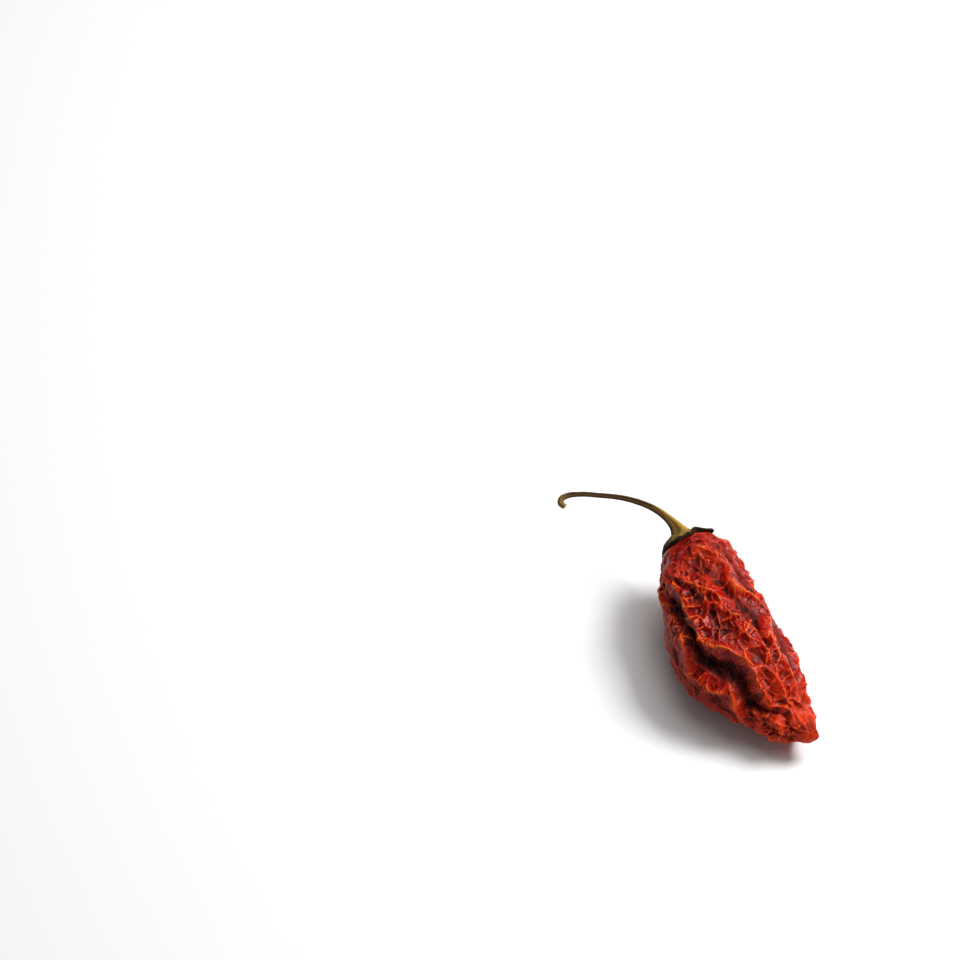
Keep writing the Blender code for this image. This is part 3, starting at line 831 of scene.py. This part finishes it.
@dataclass
class Stem:
    """The dried stalk: a ribbed section carried along a bent line to a small hook."""

    line: tuple[tuple[float, float, float], ...] = (
        (-1.0, 0.0, 0.0), (-2.9, 0.1, 0.2), (-6.1, -0.4, 0.3), (-9.0, -1.4, 0.2),
        (-12.6, -3.7, 0.0), (-15.9, -6.8, -0.4), (-18.8, -10.7, -0.8), (-21.2, -14.5, -1.1),
        (-22.2, -17.0, -1.3), (-22.1, -18.7, -1.5), (-21.3, -19.3, -1.8), (-20.2, -18.8, -2.0),
    )
    radii: Knots = (
        (0.0, 2.85), (0.015, 2.4), (0.035, 1.9), (0.065, 1.48), (0.105, 1.15), (0.16, 0.92),
        (0.26, 0.74), (0.4, 0.64), (0.6, 0.56), (0.85, 0.58), (0.95, 0.66), (1.0, 0.6),
    )
    ribs: int = 5
    rib_height: float = 0.12
    fluting: float = 0.9
    flute_end: float = 0.22
    foot_end: float = 0.03
    foot_sink: float = 0.55
    waver: float = 0.05
    waver_size: float = 1.6
    # Painted light: the side of the foot that faces the light turns gold, fading out along the stem.
    painted_light_angle: float = 48.0
    painted_light_reach: tuple[float, float] = (0.16, 0.34)
    end_share: float = 0.012
    grid: Grid = Grid(300, 60)

    def frames(self, share: np.ndarray) -> tuple[np.ndarray, np.ndarray, np.ndarray]:
        """The line's places with two directions across it, kept level with the pod's up.

        Args:
            share: 0 to 1 along the stem.

        Returns:
            Places, a first direction across, and a second one square to it.
        """
        line = np.array(self.line)
        steps = np.linalg.norm(np.diff(line, axis=0), axis=1)
        station = np.concatenate([[0.0], np.cumsum(steps)]) / steps.sum()

        def place(at: np.ndarray) -> np.ndarray:
            """The middle line at each share."""
            axes = [spline(at, np.column_stack([station, line[:, k]])) for k in range(3)]
            return np.stack(axes, axis=-1)

        tiny = 1e-3
        ahead = place(np.minimum(share + tiny, 1)) - place(np.maximum(share - tiny, 0))
        ahead /= np.linalg.norm(ahead, axis=-1, keepdims=True)
        side = np.cross(ahead, np.array([0.0, 0.0, 1.0]))
        side /= np.linalg.norm(side, axis=-1, keepdims=True)
        return place(share), side, np.cross(side, ahead)

    def build(self, rest: Rest) -> bpy.types.Object:
        """Makes the stalk: across each station a circle raised into ribs, closed by two flat ends.

        Args:
            rest: the pepper's resting pose.

        Returns:
            The stem, with its rib, painted light mask and reach stored on its vertices.
        """
        share, angle = self.grid.parameters()
        along = np.clip((share - self.end_share) / (1 - 2 * self.end_share), 0, 1)
        closing = np.sqrt(np.clip(np.minimum(share, 1 - share) / self.end_share, 0, 1))
        middle, side, up = self.frames(along)
        rib = np.cos(self.ribs * angle)
        leaving = ease(along, 0.0, self.foot_end)
        fluted = 1 + self.fluting * (1 - ease(along, 0.0, self.flute_end)) * leaving
        radius = spline(along, self.radii) * closing * (1 + self.rib_height * fluted * rib)
        around = middle / self.waver_size + angle[:, None]
        radius = radius * (1 + self.waver * soft_noise(around, 91))
        outward = side * np.cos(angle)[:, None] + up * np.sin(angle)[:, None]
        points = middle + outward * radius[:, None]
        points[:, 0] += self.foot_sink * (1 - leaving)
        # Painted light: gold on the side that faces the light, near the foot only.
        sunny = np.cos(turn_from(angle, self.painted_light_angle)) + 0.25 * rib
        lit = ease(sunny, 0.05, 0.85) * (1 - ease(along, *self.painted_light_reach))
        fields = {"rib": 0.5 + 0.5 * rib, "painted_light": lit, "reach": along}
        made = self.grid.build("stem_stalk", rest.place(points) * MM, fields)
        made.data.materials.append(BarkFinish().make())
        return made


@dataclass(frozen=True)
class SoftLight:
    """A square light, its direction given as shares of the picture's right, its up and towards
    the camera, with its distance and side in metres and its power in watts."""

    name: str
    turn: tuple[float, float, float]
    away: float
    size: float
    power: float


@dataclass
class Studio:
    """A plain pale floor, soft lights, and a camera that has the pepper where the photograph has it."""

    lens: float = 130.0
    azimuth: float = 59.84
    elevation: float = 48.70
    camera: tuple[float, float, float] = (409.77, -290.71, 589.72)
    floor_size: float = 3.0
    floor_colour: Colour = (0.80, 0.80, 0.80)
    floor_roughness: float = 0.85
    world_strength: float = 0.18
    lights: tuple[SoftLight, ...] = (
        SoftLight("key", (0.57, 0.68, 0.46), 0.75, 0.3, 6.2),
        SoftLight("fill", (0.30, 0.80, 0.52), 0.9, 0.9, 5.6),
    )

    def back(self) -> Vector:
        """The direction from the pepper to the camera."""
        a, e = math.radians(self.azimuth), math.radians(self.elevation)
        return Vector((math.sin(a) * math.cos(e), -math.cos(a) * math.cos(e), math.sin(e)))

    def aim(self, item: bpy.types.Object, back: Vector) -> None:
        """Turns a light or camera to look against a direction."""
        item.rotation_mode = "QUATERNION"
        item.rotation_quaternion = (-back).to_track_quat("-Z", "Y")

    def add_camera(self, rest: Rest) -> None:
        """Puts the camera at its place, counted in millimetres from the pod's own origin."""
        data = bpy.data.cameras.new("camera")
        data.lens = self.lens
        data.clip_end = 10.0
        item = bpy.data.objects.new("camera", data)
        item.location = Vector((np.array(self.camera) + rest.shift) * MM)
        self.aim(item, self.back())
        bpy.context.scene.collection.objects.link(item)
        bpy.context.scene.camera = item

    def add_floor(self) -> None:
        """Lays the floor, a square of pale matt board."""
        half = self.floor_size / 2
        mesh = bpy.data.meshes.new("floor")
        corners = [(-half, -half, 0), (half, -half, 0), (half, half, 0), (-half, half, 0)]
        mesh.from_pydata(corners, [], [(0, 1, 2, 3)])
        n = Nodes("floor")
        n.shader.inputs["Base Color"].default_value = (*self.floor_colour, 1)
        n.shader.inputs["Roughness"].default_value = self.floor_roughness
        mesh.materials.append(n.material)
        item = bpy.data.objects.new("floor", mesh)
        bpy.context.scene.collection.objects.link(item)

    def add_light(self, light: SoftLight) -> None:
        """Hangs one light, aimed at the origin."""
        turn = math.radians(self.azimuth)
        back, right = self.back(), Vector((math.cos(turn), math.sin(turn), 0))
        toward = right * light.turn[0] + back.cross(right) * light.turn[1] + back * light.turn[2]
        toward.normalize()
        data = bpy.data.lights.new(light.name, "AREA")
        data.size = light.size
        data.energy = light.power
        item = bpy.data.objects.new(light.name, data)
        item.location = toward * light.away
        self.aim(item, toward)
        bpy.context.scene.collection.objects.link(item)

    def build(self, rest: Rest) -> None:
        """Makes the floor, the lights, the world and the camera."""
        self.add_floor()
        for light in self.lights:
            self.add_light(light)
        world = bpy.data.worlds.new("studio")
        world.use_nodes = True
        background = world.node_tree.nodes["Background"]
        background.inputs["Color"].default_value = (1, 1, 1, 1)
        background.inputs["Strength"].default_value = self.world_strength
        bpy.context.scene.world = world
        bpy.context.scene.view_settings.view_transform = "Standard"
        self.add_camera(rest)


def dress(piece: bpy.types.Object, node: str) -> None:
    """Makes a piece ride on the body and stand for its node."""
    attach(piece, "root")
    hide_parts(node)
    LOG.info("%s: %d vertices in place of %s", piece.name, len(piece.data.vertices), node)


def main() -> None:
    """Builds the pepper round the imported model, then the studio."""
    logging.basicConfig(level=logging.INFO, format="%(name)s: %(message)s")
    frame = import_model()
    LOG.info("packed nodes: %s", ", ".join(sorted(frame["nodes"])))
    pod, calyx, stem, rest = Pod(), Calyx(), Stem(), Rest()
    share, angle = calyx.grid.parameters()
    rest.settle(calyx.shape(share, angle, pod)[0], "calyx")
    LOG.info("the pod's own frame stands at %s mm", np.round(rest.shift, 2))
    dress(pod.build(rest, calyx), "pod")
    dress(calyx.build(rest, pod), "calyx")
    dress(stem.build(rest), "stem")
    Studio().build(rest)


if __name__ == "__main__":
    main()
